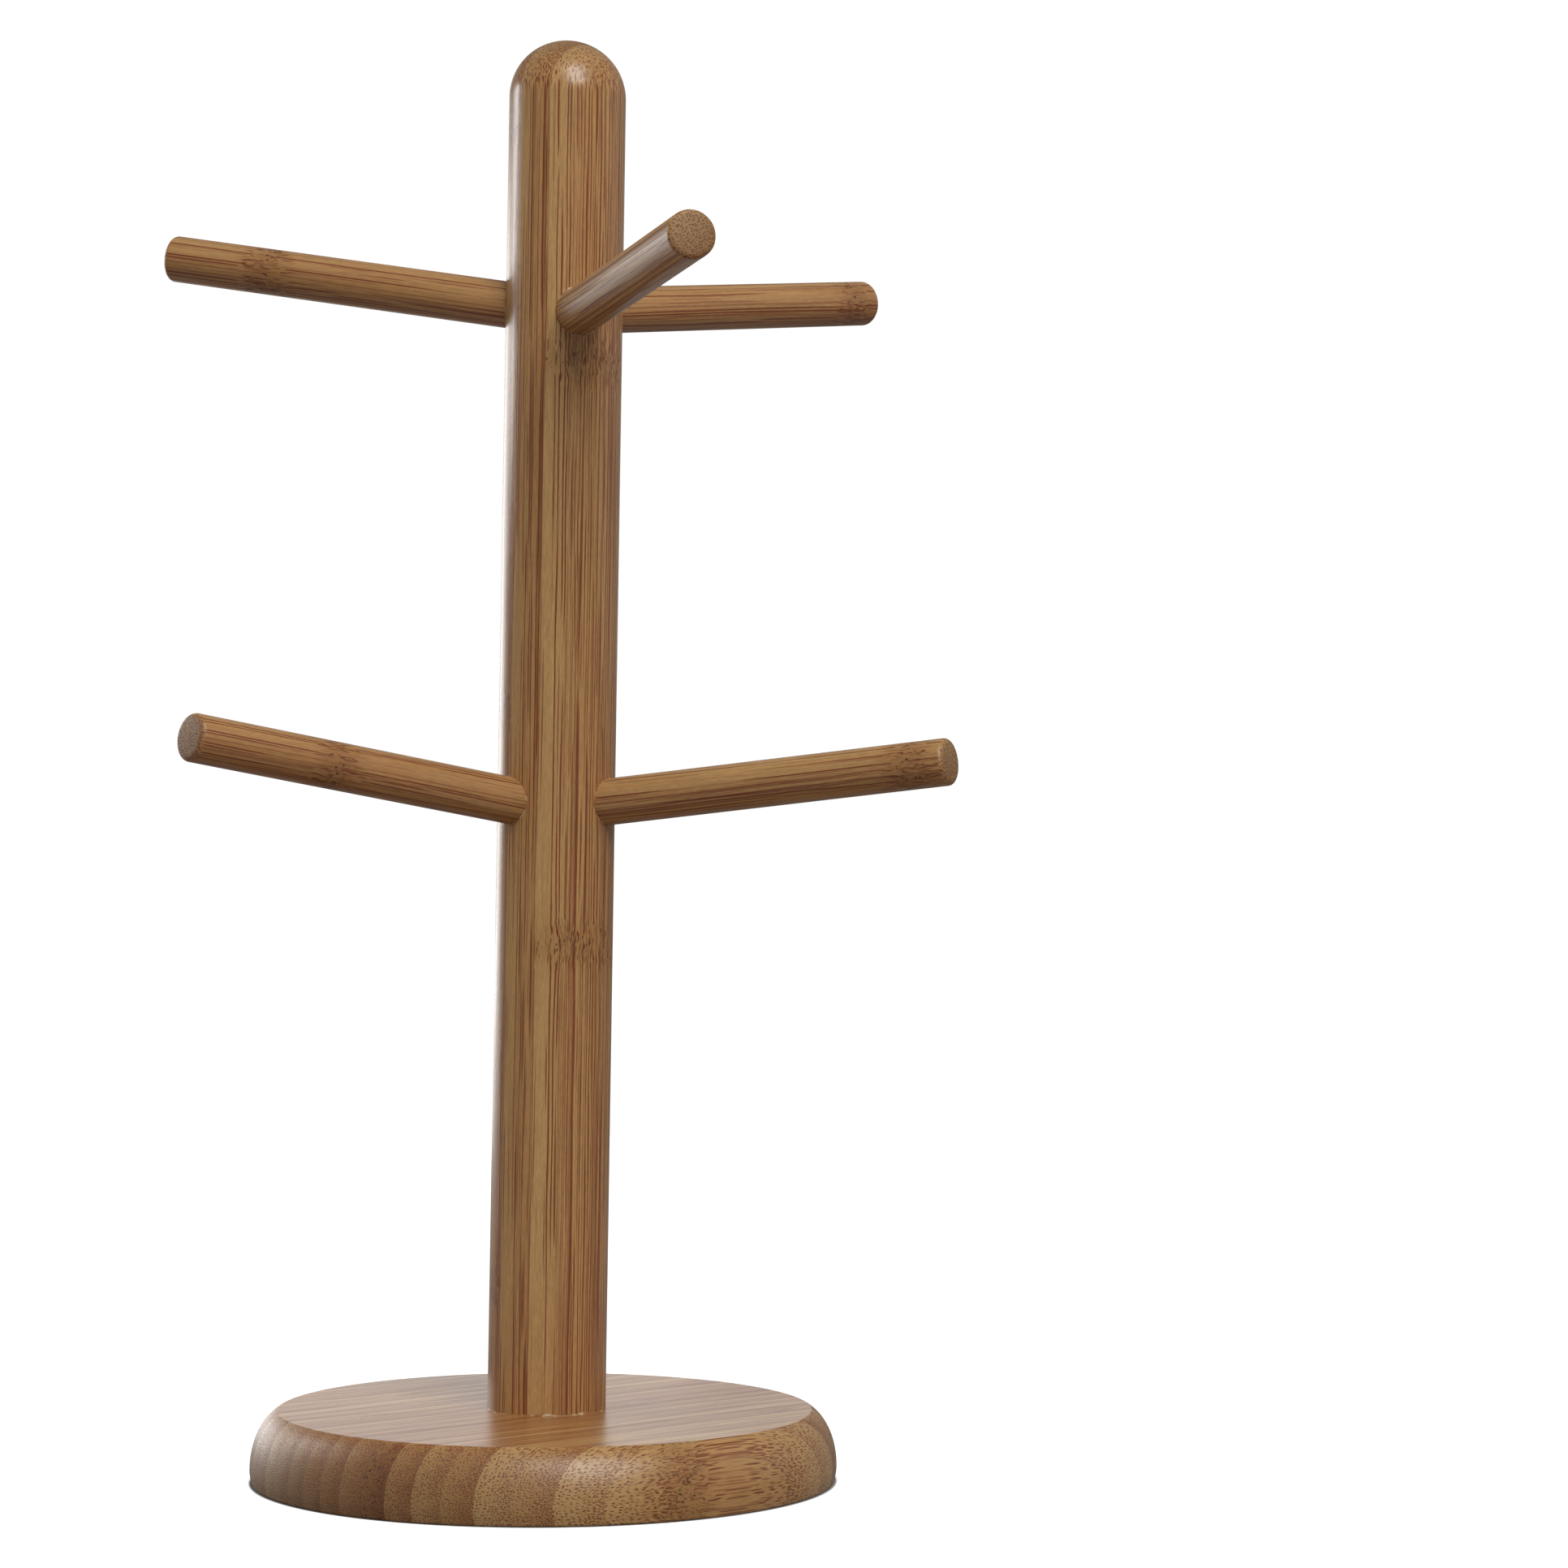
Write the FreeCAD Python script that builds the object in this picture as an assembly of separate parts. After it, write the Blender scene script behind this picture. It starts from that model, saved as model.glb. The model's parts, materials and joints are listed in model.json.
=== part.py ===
import FreeCAD, Part
import math
import os

# A free-standing mug tree: a round board carries a post, and six glued pegs stand out from the post.
# Frame: +Z up, the post's axis on the Z axis, the board's underside on z = 0, the front peg over -Y.
# Lengths are millimetres and angles are degrees.

# Board
BOARD_RADIUS = 70.0           # at its widest
BOARD_THICKNESS = 17.2
BOARD_WIDEST_HEIGHT = 3.6     # the side is upright here
BOARD_SHOULDER_WIDTH = 9.6    # half-width of the shoulder's ellipse
BOARD_SHOULDER_CREST = 0.9    # the flat top cuts the ellipse this far below its crest
BOARD_FOOT_INSET = 0.4        # how far the side draws in below its widest height
BOARD_FOOT_ROUNDING = 0.8

# Post
POST_FOOT_DIAMETER = 28.3
POST_TOP_DIAMETER = 27.9      # where the dome starts
POST_TOP_HEIGHT = 346.7       # crown of the dome above the table
POST_FOOT_CHAMFER = 0.5
SOCKET_DEPTH = 5.0            # the post stands this deep in the board

# Pegs
PEG_DIAMETER = 11.3
PEG_REACH = 103.3             # post axis to peg end, along the peg
PEG_END_ROUNDING = 1.3
PEG_TAIL_CHAMFER = 0.6        # at the buried end
PEG_BORE_FLOOR = 5.2          # post axis to the bore's flat floor, along the peg
UPPER_TIER_DROP = 65.8        # crown of the dome to where the upper pegs' axes meet the post's axis
TIER_SPACING = 119.2          # upper tier to lower tier

upper_tier = POST_TOP_HEIGHT - UPPER_TIER_DROP
lower_tier = upper_tier - TIER_SPACING

# Each peg's hole is drilled by hand, so each has its own small error in height and its own direction:
# node, tier's height, height error, turn from the front (-Y) towards +X, upward tilt.
PEGS = (
    ("upper_front_peg", upper_tier, -1.9, 0.0, 6.0),
    ("upper_right_peg", upper_tier, 0.7, 115.9, 6.2),
    ("upper_left_peg", upper_tier, 0.4, -126.5, 7.8),
    ("lower_left_peg", lower_tier, -0.2, -69.4, 8.8),
    ("lower_right_peg", lower_tier, 0.2, 47.1, 7.1),
    ("lower_rear_peg", lower_tier, 0.0, 169.0, 7.3),
)

# Countersunk wood screw that holds the post from below
SCREW_LENGTH = 45.0           # head face to point
SCREW_HEAD_DIAMETER = 9.6
SCREW_HEAD_RIM = 0.5          # upright rim round the head's face
SCREW_SHANK_DIAMETER = 4.0
SCREW_SHANK_END = 15.0        # head face to the first thread
SCREW_THREAD_DIAMETER = 5.0   # over the crests
SCREW_POINT_LENGTH = 6.0
SCREW_RECESS_WIDTH = 4.6      # cross recess, tip to tip
SCREW_RECESS_BLADE = 1.1
SCREW_RECESS_DEPTH = 2.2
SCREW_HEAD_SINK = 4.0         # the head's face lies this far above the underside

# Clearances: radial unless they say lengthwise
GLUE_GAP = 0.05               # round each peg's tail and the post's foot
GLUE_POCKET = 0.4             # lengthwise, at the floor of each peg's bore
SHANK_CLEARANCE = 0.3         # screw shank in the board
HEAD_CLEARANCE = 0.05         # screw head in its seat
COUNTERBORE_CLEARANCE = 1.2   # room for a driver round the head
THREAD_CLEARANCE = 0.05       # round the thread's crests
POINT_POCKET = 3.0            # lengthwise, above the screw's point

UP = FreeCAD.Vector(0, 0, 1)
CENTRE = FreeCAD.Vector(0, 0, 0)
OVERRUN = 1.0                 # how far a cutting tool passes the face it opens

socket_floor = BOARD_THICKNESS - SOCKET_DEPTH


def at(radius, height):
    """A point of a profile in the XZ plane, to be turned about the Z axis."""
    return FreeCAD.Vector(radius, 0, height)


def line(start, end):
    return Part.makeLine(start, end)


def turned(edges):
    """The solid that a closed profile sweeps about the Z axis."""
    return Part.Face(Part.Wire(edges)).revolve(CENTRE, UP, 360)


def turned_polygon(points):
    return turned([line(a, b) for a, b in zip(points, points[1:] + points[:1])])


def quarter_round(centre, radius, first_angle):
    """A quarter circle of a profile, from first_angle on, counted from outwards towards up."""
    angles = [math.radians(first_angle + turn) for turn in (0, 45, 90)]
    points = [centre + at(radius * math.cos(a), radius * math.sin(a)) for a in angles]
    return Part.Arc(*points).toShape()


def shoulder_curve():
    """The board's shoulder: an upright ellipse, from its side up to where the flat top cuts it."""
    rise = BOARD_THICKNESS - BOARD_WIDEST_HEIGHT
    half_height = rise + BOARD_SHOULDER_CREST
    angle = math.asin(rise / half_height)
    centre = at(BOARD_RADIUS - BOARD_SHOULDER_WIDTH, BOARD_WIDEST_HEIGHT)
    side = centre + at(BOARD_SHOULDER_WIDTH, 0)
    knee = centre + at(BOARD_SHOULDER_WIDTH, half_height * math.tan(angle / 2))
    top_edge = centre + at(BOARD_SHOULDER_WIDTH * math.cos(angle), rise)
    curve = Part.BezierCurve()
    curve.setPoles([side, knee, top_edge])
    curve.setWeight(2, math.cos(angle / 2))
    return curve.toShape(), side, top_edge


def foot_curve(side):
    """The board's side below its widest height: an arc that draws in, then a rounding to the underside."""
    drop = BOARD_WIDEST_HEIGHT - BOARD_FOOT_ROUNDING
    radius = (BOARD_FOOT_INSET ** 2 + drop ** 2) / (2 * BOARD_FOOT_INSET)
    half_turn = math.asin(drop / radius) / 2
    bend = side - at(radius * (1 - math.cos(half_turn)), radius * math.sin(half_turn))
    foot = side - at(BOARD_FOOT_INSET, drop)
    draw_in = Part.Arc(foot, bend, side).toShape()
    rounding_centre = foot - at(BOARD_FOOT_ROUNDING, 0)
    rounding = quarter_round(rounding_centre, BOARD_FOOT_ROUNDING, 270)
    return rounding, draw_in, rounding_centre - at(0, BOARD_FOOT_ROUNDING)


def screw_seat():
    """What is cut from the board for the screw: a counterbore, a countersink and a plain hole."""
    bore = SCREW_HEAD_DIAMETER / 2 + COUNTERBORE_CLEARANCE
    head = SCREW_HEAD_DIAMETER / 2 + HEAD_CLEARANCE
    hole = SCREW_SHANK_DIAMETER / 2 + SHANK_CLEARANCE
    cone_foot = SCREW_HEAD_SINK + SCREW_HEAD_RIM
    return turned_polygon([
        at(0, -OVERRUN),
        at(bore, -OVERRUN),
        at(bore, SCREW_HEAD_SINK),
        at(head, SCREW_HEAD_SINK),
        at(head, cone_foot),
        at(hole, cone_foot + head - hole),
        at(hole, socket_floor + OVERRUN),
        at(0, socket_floor + OVERRUN),
    ])


def board():
    shoulder, side, top_edge = shoulder_curve()
    rounding, draw_in, underside_edge = foot_curve(side)
    top_centre = at(0, BOARD_THICKNESS)
    disc = turned([
        line(CENTRE, underside_edge),
        rounding,
        draw_in,
        shoulder,
        line(top_edge, top_centre),
        line(top_centre, CENTRE),
    ])
    socket_radius = POST_FOOT_DIAMETER / 2 + GLUE_GAP
    socket = Part.makeCylinder(socket_radius, SOCKET_DEPTH + OVERRUN, at(0, socket_floor), UP)
    return disc.cut([socket, screw_seat()])


def peg_placement(height, turn, tilt):
    """Carries a shape from the Z axis onto a peg's axis, with its zero on the post's axis."""
    turn, tilt = math.radians(turn), math.radians(tilt)
    level = math.cos(tilt)
    direction = FreeCAD.Vector(math.sin(turn) * level, -math.cos(turn) * level, math.sin(tilt))
    return FreeCAD.Placement(at(0, height), FreeCAD.Rotation(UP, direction))


def placed(shape, placement):
    """The shape moved to the placement, with the move worked into its geometry."""
    return shape.transformed(placement.toMatrix(), True)


def peg():
    """One peg along the Z axis: a chamfered tail in the post, and a rounded end."""
    radius = PEG_DIAMETER / 2
    tail = PEG_BORE_FLOOR + GLUE_POCKET
    body = [
        at(0, tail),
        at(radius - PEG_TAIL_CHAMFER, tail),
        at(radius, tail + PEG_TAIL_CHAMFER),
        at(radius, PEG_REACH - PEG_END_ROUNDING),
    ]
    rounding_centre = at(radius - PEG_END_ROUNDING, PEG_REACH - PEG_END_ROUNDING)
    end = at(radius - PEG_END_ROUNDING, PEG_REACH)
    return turned(
        [line(a, b) for a, b in zip(body, body[1:])]
        + [quarter_round(rounding_centre, PEG_END_ROUNDING, 0)]
        + [line(end, at(0, PEG_REACH)), line(at(0, PEG_REACH), body[0])]
    )


def peg_bore():
    """The blind bore for one peg, along the Z axis."""
    return Part.makeCylinder(
        PEG_DIAMETER / 2 + GLUE_GAP, PEG_REACH - PEG_BORE_FLOOR, at(0, PEG_BORE_FLOOR), UP
    )


def post_blank():
    """The post before drilling: a slightly tapered bar with a hemisphere on top."""
    foot_radius, top_radius = POST_FOOT_DIAMETER / 2, POST_TOP_DIAMETER / 2
    dome_centre = at(0, POST_TOP_HEIGHT - top_radius)
    side = [
        at(0, socket_floor),
        at(foot_radius - POST_FOOT_CHAMFER, socket_floor),
        at(foot_radius, socket_floor + POST_FOOT_CHAMFER),
        dome_centre + at(top_radius, 0),
    ]
    return turned(
        [line(a, b) for a, b in zip(side, side[1:])]
        + [quarter_round(dome_centre, top_radius, 0)]
        + [line(at(0, POST_TOP_HEIGHT), side[0])]
    )


def post():
    bores = [
        placed(peg_bore(), peg_placement(height + error, turn, tilt))
        for _, height, error, turn, tilt in PEGS
    ]
    screw_hole_top = SCREW_HEAD_SINK + SCREW_LENGTH + POINT_POCKET
    screw_hole = Part.makeCylinder(
        SCREW_THREAD_DIAMETER / 2 + THREAD_CLEARANCE,
        screw_hole_top - socket_floor + OVERRUN,
        at(0, socket_floor - OVERRUN),
        UP,
    )
    return post_blank().cut(bores + [screw_hole])


def cross_recess():
    """The driver's cross in the screw's head, cut upwards from its face."""
    blades = []
    for size in ((SCREW_RECESS_WIDTH, SCREW_RECESS_BLADE), (SCREW_RECESS_BLADE, SCREW_RECESS_WIDTH)):
        corner = FreeCAD.Vector(-size[0] / 2, -size[1] / 2, SCREW_HEAD_SINK - OVERRUN)
        blades.append(Part.makeBox(size[0], size[1], SCREW_RECESS_DEPTH + OVERRUN, corner))
    return blades


def screw():
    """The screw at its crest size: the thread's own grooves are left out."""
    head, shank = SCREW_HEAD_DIAMETER / 2, SCREW_SHANK_DIAMETER / 2
    thread = SCREW_THREAD_DIAMETER / 2
    point = SCREW_HEAD_SINK + SCREW_LENGTH
    thread_start = SCREW_HEAD_SINK + SCREW_SHANK_END
    body = turned_polygon([
        at(0, SCREW_HEAD_SINK),
        at(head, SCREW_HEAD_SINK),
        at(head, SCREW_HEAD_SINK + SCREW_HEAD_RIM),
        at(shank, SCREW_HEAD_SINK + SCREW_HEAD_RIM + head - shank),
        at(shank, thread_start),
        at(thread, thread_start),
        at(thread, point - SCREW_POINT_LENGTH),
        at(0, point),
    ])
    return body.cut(cross_recess())


def export(node, shape):
    """Writes one node's solid to parts/NODE.step and prints what it is."""
    solids = shape.Solids
    if len(solids) != 1 or not solids[0].isValid():
        raise RuntimeError(f"{node} is not one valid solid")
    solids[0].exportStep(f"parts/{node}.step")
    box = solids[0].optimalBoundingBox()
    print(f"{node}: {solids[0].Volume / 1000:.2f} cm3, z {box.ZMin:.2f} to {box.ZMax:.2f}")


os.makedirs("parts", exist_ok=True)
export("board", board())
export("post", post())
for node, height, error, turn, tilt in PEGS:
    export(node, placed(peg(), peg_placement(height + error, turn, tilt)))
export("post_screw", screw())
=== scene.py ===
"""Looks of a bamboo mug tree: a round board, a turned post, six glued pegs and a screw."""

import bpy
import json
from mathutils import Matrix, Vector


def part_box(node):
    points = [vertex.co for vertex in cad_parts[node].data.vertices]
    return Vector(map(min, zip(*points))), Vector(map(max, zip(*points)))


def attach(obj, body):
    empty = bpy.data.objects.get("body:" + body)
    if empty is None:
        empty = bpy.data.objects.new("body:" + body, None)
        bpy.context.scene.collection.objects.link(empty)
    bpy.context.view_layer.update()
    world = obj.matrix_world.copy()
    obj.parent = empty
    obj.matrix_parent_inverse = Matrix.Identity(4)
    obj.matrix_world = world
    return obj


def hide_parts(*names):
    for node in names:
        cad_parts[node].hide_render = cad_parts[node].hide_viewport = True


bl_info = {
    "name": "Bamboo Mug Tree",
    "version": (1, 0, 0),
    "blender": (4, 5, 0),
    "location": "View3D > Sidebar > Mug Tree",
    "description": "Builds the visible pieces of a laminated bamboo mug tree round its design frame",
    "category": "Add Mesh",
}

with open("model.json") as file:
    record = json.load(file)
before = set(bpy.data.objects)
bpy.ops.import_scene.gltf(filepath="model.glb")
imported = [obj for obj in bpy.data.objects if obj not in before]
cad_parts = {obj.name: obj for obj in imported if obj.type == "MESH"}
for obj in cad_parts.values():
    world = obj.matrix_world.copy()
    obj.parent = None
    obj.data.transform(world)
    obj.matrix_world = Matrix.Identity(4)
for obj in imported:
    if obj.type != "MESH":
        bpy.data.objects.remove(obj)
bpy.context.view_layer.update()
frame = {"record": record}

import json
import math
from collections import namedtuple

import bpy
import numpy as np
from bpy.props import FloatProperty, FloatVectorProperty, PointerProperty
from mathutils import Matrix, Vector

MM = 0.001
ORIGIN = (0.0, 0.0, 0.0)
UP = np.array((0.0, 0.0, 1.0))
SHARP_ANGLE = math.radians(32)
SAME_POINT = 1e-7

BOARD_LOW, BOARD_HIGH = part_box("board")
POST_LOW, POST_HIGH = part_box("post")
SCREW_LOW, SCREW_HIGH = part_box("post_screw")
END_MOUNTS = {mount["name"]: mount for mount in frame["record"]["mounts"]
              if mount["name"].endswith("_peg_end")}

# How each peg's stock was picked: the turn of its strips about its own axis in degrees, where a glue line
# runs across it and where a node of the culm sits along it (both mm), and its tone and pore size, 0 to 1. A
# node beyond the peg's end doesn't show.
PEG_STOCK = {
    "upper_front_peg": (-118.0, 6.4, 200.0, 0.42, 0.40),
    "upper_right_peg": (-70.0, 6.2, 94.5, 0.52, 0.50),
    "upper_left_peg": (-75.0, 5.9, 76.0, 0.54, 0.48),
    "lower_left_peg": (-95.0, 5.9, 66.0, 0.56, 0.42),
    "lower_right_peg": (-72.0, 6.0, 94.0, 0.34, 0.42),
    "lower_rear_peg": (48.0, 6.1, 71.0, 0.50, 0.50),
}

# Tone, pore size, node shift and node strength of each strip, counted along the strips' stacking direction.
# A strip beyond either end of its table takes the values at that end.
BOARD_FIRST_STRIP = -11
BOARD_STRIPS = (
    (0.40, 0.28, 0.30, 0.6), (0.60, 0.33, 0.55, 0.8), (0.45, 0.23, 0.80, 0.7), (0.55, 0.28, 0.25, 0.7),
    (0.30, 0.28, 0.50, 0.8), (0.62, 0.28, 0.12, 0.6), (0.40, 0.33, 0.70, 0.8), (0.66, 0.28, 0.40, 0.5),
    (0.25, 0.28, 0.90, 0.7), (0.60, 0.28, 0.30, 0.6), (0.66, 0.28, 0.60, 0.6), (0.75, 0.28, 0.45, 0.6),
    (0.80, 0.28, 0.15, 0.5), (0.75, 0.28, 0.55, 0.6), (0.90, 0.58, 0.795, 1.0), (0.75, 0.38, 0.30, 0.6),
    (0.45, 0.33, 0.62, 0.6), (0.70, 0.23, 0.20, 0.6), (0.15, 0.38, 0.40, 0.5), (0.55, 0.23, 0.25, 0.6),
    (0.12, 0.33, 0.35, 0.6), (0.30, 0.33, 0.00, 0.9), (0.66, 0.38, 0.00, 1.0),
)
POST_FIRST_STRIP = -2
POST_STRIPS = (
    (0.46, 0.36, 0.40, 0.7), (0.42, 0.38, 0.50, 0.0), (0.31, 0.42, 0.00, 0.7),
)
# The same for a peg's strips, as a change of its tone and the node strength.
PEG_FIRST_STRIP = -2
PEG_STRIPS = ((0.0, 0.9), (0.08, 1.0), (-0.1, 1.0))

# Where a node of the culm sits along the fibre, and the step from one node to the next.
BOARD_NODES = (-13.6 * MM, 260.0 * MM)
POST_NODES = (129.7 * MM, 139.3 * MM)
PEG_NODE_STEP = 280.0 * MM

# What sanding left round each bar, as waves: strength, waves in one turn, drift along the bar in radians per
# metre, and phase.
POST_WAVES = ((1.0, 2, 9.0, 0.0), (1.0, 3, -23.0, 1.0), (0.6, 5, 61.0, 2.0))
PEG_WAVES = ((1.0, 3, 12.0, 1.0), (0.7, 7, 0.0, 2.0), (0.5, 2, 40.0, 1.0))


# ---------------------------------------------------------------- settings

def length(label, default, description):
    """A size in metres, shown in the scene's own units."""
    return FloatProperty(name=label, description=description, default=default, precision=5, unit="LENGTH")


def share(label, default, description):
    """A plain number from 0 to 1."""
    return FloatProperty(name=label, description=description, default=default, min=0.0, max=1.0,
                         subtype="FACTOR")


def angle(label, degrees, description):
    """A turn, kept in radians and shown in degrees."""
    return FloatProperty(name=label, description=description, default=math.radians(degrees), subtype="ANGLE")


def colour(label, default, description):
    """A colour in linear light."""
    return FloatVectorProperty(name=label, description=description, default=default, size=3, min=0.0,
                               max=1.0, subtype="COLOR")


class BoardSettings(bpy.types.PropertyGroup):
    """The round board that the post stands in."""
    radius: length("Radius", BOARD_HIGH.x, "Radius at the board's widest")
    thickness: length("Thickness", BOARD_HIGH.z, "Underside to flat top")
    widest_height: length("Widest Height", 3.6 * MM, "Height where the side is upright")
    shoulder_width: length("Shoulder Width", 9.6 * MM, "Half-width of the shoulder's ellipse")
    shoulder_crest: length("Shoulder Crest", 0.9 * MM, "How far below its crest the top cuts the ellipse")
    foot_inset: length("Foot Inset", 0.4 * MM, "How far the side draws in towards the underside")
    foot_rounding: length("Foot Rounding", 0.8 * MM, "Radius of the rounding to the underside")
    edge_break: length("Edge Break", 0.22 * MM, "Length of the sanded break each side of the top edge")
    socket_radius: length("Socket Radius", 14.2 * MM, "Radius of the blind hole for the post's foot")
    counterbore_radius: length("Counterbore Radius", 6.0 * MM, "Room for a driver round the screw's head")
    seat_radius: length("Seat Radius", 4.85 * MM, "Radius of the seat for the screw's head")
    hole_radius: length("Hole Radius", 2.3 * MM, "Radius of the screw's hole")
    head_rim: length("Head Rim", 0.5 * MM, "Upright part of the screw's seat")


class PostSettings(bpy.types.PropertyGroup):
    """The turned post."""
    foot_radius: length("Foot Radius", 14.15 * MM, "Radius at the foot")
    top_radius: length("Top Radius", 13.95 * MM, "Radius where the dome starts")
    foot_chamfer: length("Foot Chamfer", 0.5 * MM, "Chamfer at the hidden foot")
    screw_hole_radius: length("Screw Hole Radius", 2.55 * MM, "Radius of the hole for the screw")
    screw_hole_top: length("Screw Hole Top", 52.0 * MM, "Height of the screw hole's end above the table")
    bore_radius: length("Bore Radius", 5.7 * MM, "Radius of each peg's hole")
    bore_floor: length("Bore Floor", 5.2 * MM, "Post's axis to the floor of each peg's hole")
    unevenness: length("Unevenness", 0.035 * MM, "How far sanding left the post out of true")


class PegSettings(bpy.types.PropertyGroup):
    """The six pegs, which are alike but for their stock."""
    tail: length("Tail", 5.6 * MM, "Post's axis to the peg's buried end")
    tail_chamfer: length("Tail Chamfer", 0.6 * MM, "Chamfer at the buried end")
    end_rounding: length("End Rounding", 1.3 * MM, "Rounding at the free end")
    end_crown: length("End Crown", 0.08 * MM, "How far the free end's face is domed")
    unevenness: length("Unevenness", 0.05 * MM, "How far the dowel is out of round")
    bead: length("Glue Bead", 0.2 * MM, "Size of the glue and lacquer that stands in each corner")


class ScrewSettings(bpy.types.PropertyGroup):
    """The countersunk wood screw under the board."""
    head_radius: length("Head Radius", 4.8 * MM, "Radius of the head")
    head_rim: length("Head Rim", 0.5 * MM, "Upright rim round the head's face")
    shank_radius: length("Shank Radius", 2.0 * MM, "Radius of the plain shank")
    root_radius: length("Root Radius", 1.75 * MM, "Radius at the thread's root")
    thread_radius: length("Thread Radius", 2.5 * MM, "Radius over the thread's crests")
    thread_pitch: length("Thread Pitch", 2.1 * MM, "Rise of the thread in one turn")
    thread_start: length("Thread Start", 15.0 * MM, "Head face to the first thread")
    point_length: length("Point Length", 6.0 * MM, "Length of the tapered point")
    recess_width: length("Recess Width", 4.6 * MM, "Cross recess, tip to tip")
    recess_blade: length("Recess Blade", 1.1 * MM, "Width of each slot of the cross")
    recess_depth: length("Recess Depth", 2.2 * MM, "Depth of the cross")


class FinishSettings(bpy.types.PropertyGroup):
    """Colours and gloss of the bamboo and its lacquer."""
    straw: colour("Straw", (0.50, 0.290, 0.112), "Pale wood near the culm's inner wall")
    honey: colour("Honey", (0.320, 0.128, 0.036), "Caramelised wood near the culm's outer wall")
    bundle: colour("Fibre Bundle", (0.185, 0.041, 0.010), "The dark fibre bundles")
    pit: colour("Node Pit", (0.085, 0.035, 0.014), "Small pits where the culm had a node")
    glue: colour("Glue", (0.50, 0.36, 0.20), "Dried glue and raw chips in the corners")
    zinc: colour("Zinc", (0.60, 0.60, 0.58), "Zinc plating of the screw")
    post_roughness: share("Post Roughness", 0.24, "Roughness of the post's satin lacquer")
    board_roughness: share("Board Roughness", 0.30, "Roughness of the board's satin lacquer")
    peg_roughness: share("Peg Roughness", 0.38, "Roughness of the pegs' satin lacquer")
    relief: length("Grain Relief", 0.014 * MM, "Height of the grain that shows through the lacquer")
    post_turn: angle("Post Strip Turn", -62.0, "Direction in which the post's strips are stacked")
    post_pitch: length("Post Strip Pitch", 8.2 * MM, "Thickness of the post's strips")
    post_offset: length("Post Strip Offset", 6.6 * MM, "Post's axis to one of its glue lines")
    board_turn: angle("Board Strip Turn", -66.7, "Direction in which the board's strips are stacked")
    board_pitch: length("Board Strip Pitch", 6.3 * MM, "Thickness of the board's strips")
    board_offset: length("Board Strip Offset", -1.53 * MM, "Board's axis to one of its glue lines")
    peg_pitch: length("Peg Strip Pitch", 12.4 * MM, "Thickness of the pegs' strips")


class StageSettings(bpy.types.PropertyGroup):
    """Floor, lights and camera."""
    camera_turn: angle("Camera Turn", -15.67, "Camera's bearing from the front, towards +X")
    camera_distance: length("Camera Distance", 1.096, "Post's axis to the camera, level")
    camera_height: length("Camera Height", 0.1724, "Height of the camera above the table")
    camera_heading: angle("Camera Heading", -23.5, "Bearing of the lens's axis from +Y")
    camera_pitch: angle("Camera Pitch", 0.2, "How far the lens points down")
    camera_roll: angle("Camera Roll", 0.958, "Turn of the camera about its lens")
    camera_lens: FloatProperty(name="Lens", description="Focal length", default=103.41, min=1.0,
                               unit="CAMERA")
    surroundings: share("Surroundings", 0.28, "Brightness of the pale room round the object")
    floor_radius: length("Floor Radius", 25.0, "Radius of the floor")


# ---------------------------------------------------------------- surfaces

def run(start, end, steps=1, hem=0.0):
    """Points of a straight line from start to end, evenly spaced. A hem adds a point that far inside each
    end, which keeps the shading flat up to the end."""
    start, end = np.array(start, float), np.array(end, float)
    at = np.linspace(0.0, 1.0, steps + 1)
    if hem:
        inset = hem / np.linalg.norm(end - start)
        at = np.unique(np.concatenate((at, (inset, 1.0 - inset))))
    return start + at[:, None] * (end - start)


def arc(centre, radii, first, last, steps):
    """Points of an upright ellipse's arc: centre plus the radii times the cosine and the sine of an angle
    that goes evenly from first to last, in radians."""
    turn = np.linspace(first, last, steps + 1)
    return np.array(centre) + np.column_stack((radii[0] * np.cos(turn), radii[1] * np.sin(turn)))


def softened(before, corner, after, steps=5):
    """A corner eased by a parabola: the quadratic blend of the points before, at and after it."""
    at = np.linspace(0.0, 1.0, steps + 1)[:, None]
    before, corner, after = (np.array(point, float) for point in (before, corner, after))
    return (1 - at) ** 2 * before + 2 * at * (1 - at) * corner + at ** 2 * after


def chained(*stretches):
    """Stretches of a profile end to end, without the points that two of them share."""
    points = np.concatenate([np.atleast_2d(np.array(stretch, float)) for stretch in stretches])
    apart = np.linalg.norm(np.diff(points, axis=0), axis=1) > SAME_POINT
    return points[np.concatenate(([True], apart))]


def angles(around):
    """Evenly spaced angles of one full turn."""
    return np.linspace(0.0, 2 * np.pi, around, endpoint=False)


def revolved(profile, around, swell=None):
    """Rows of points: each profile point (radius, height) goes round the Z axis, so x = radius cos a,
    y = radius sin a, z = height. swell(angle, height) is a share added to the radius."""
    turn = angles(around)[None, :]
    radius, height = profile[:, :1], profile[:, 1:]
    if swell is not None:
        radius = radius * (1.0 + swell(turn, height))
    return np.stack(np.broadcast_arrays(radius * np.cos(turn), radius * np.sin(turn), height), axis=-1)


def hollows(waves, seed, turn, distance):
    """How hollow a bar is at an angle a and a distance d along it, from -1 to 0. The waves strength
    cos(count a + drift d + phase seed) are added up and moved below nought, so that they only take wood
    away."""
    depth = sum(strength * np.cos(count * turn + drift * distance + phase * seed)
                for strength, count, drift, phase in waves)
    most = sum(wave[0] for wave in waves)
    return (depth - most) / (2.0 * most)


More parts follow.
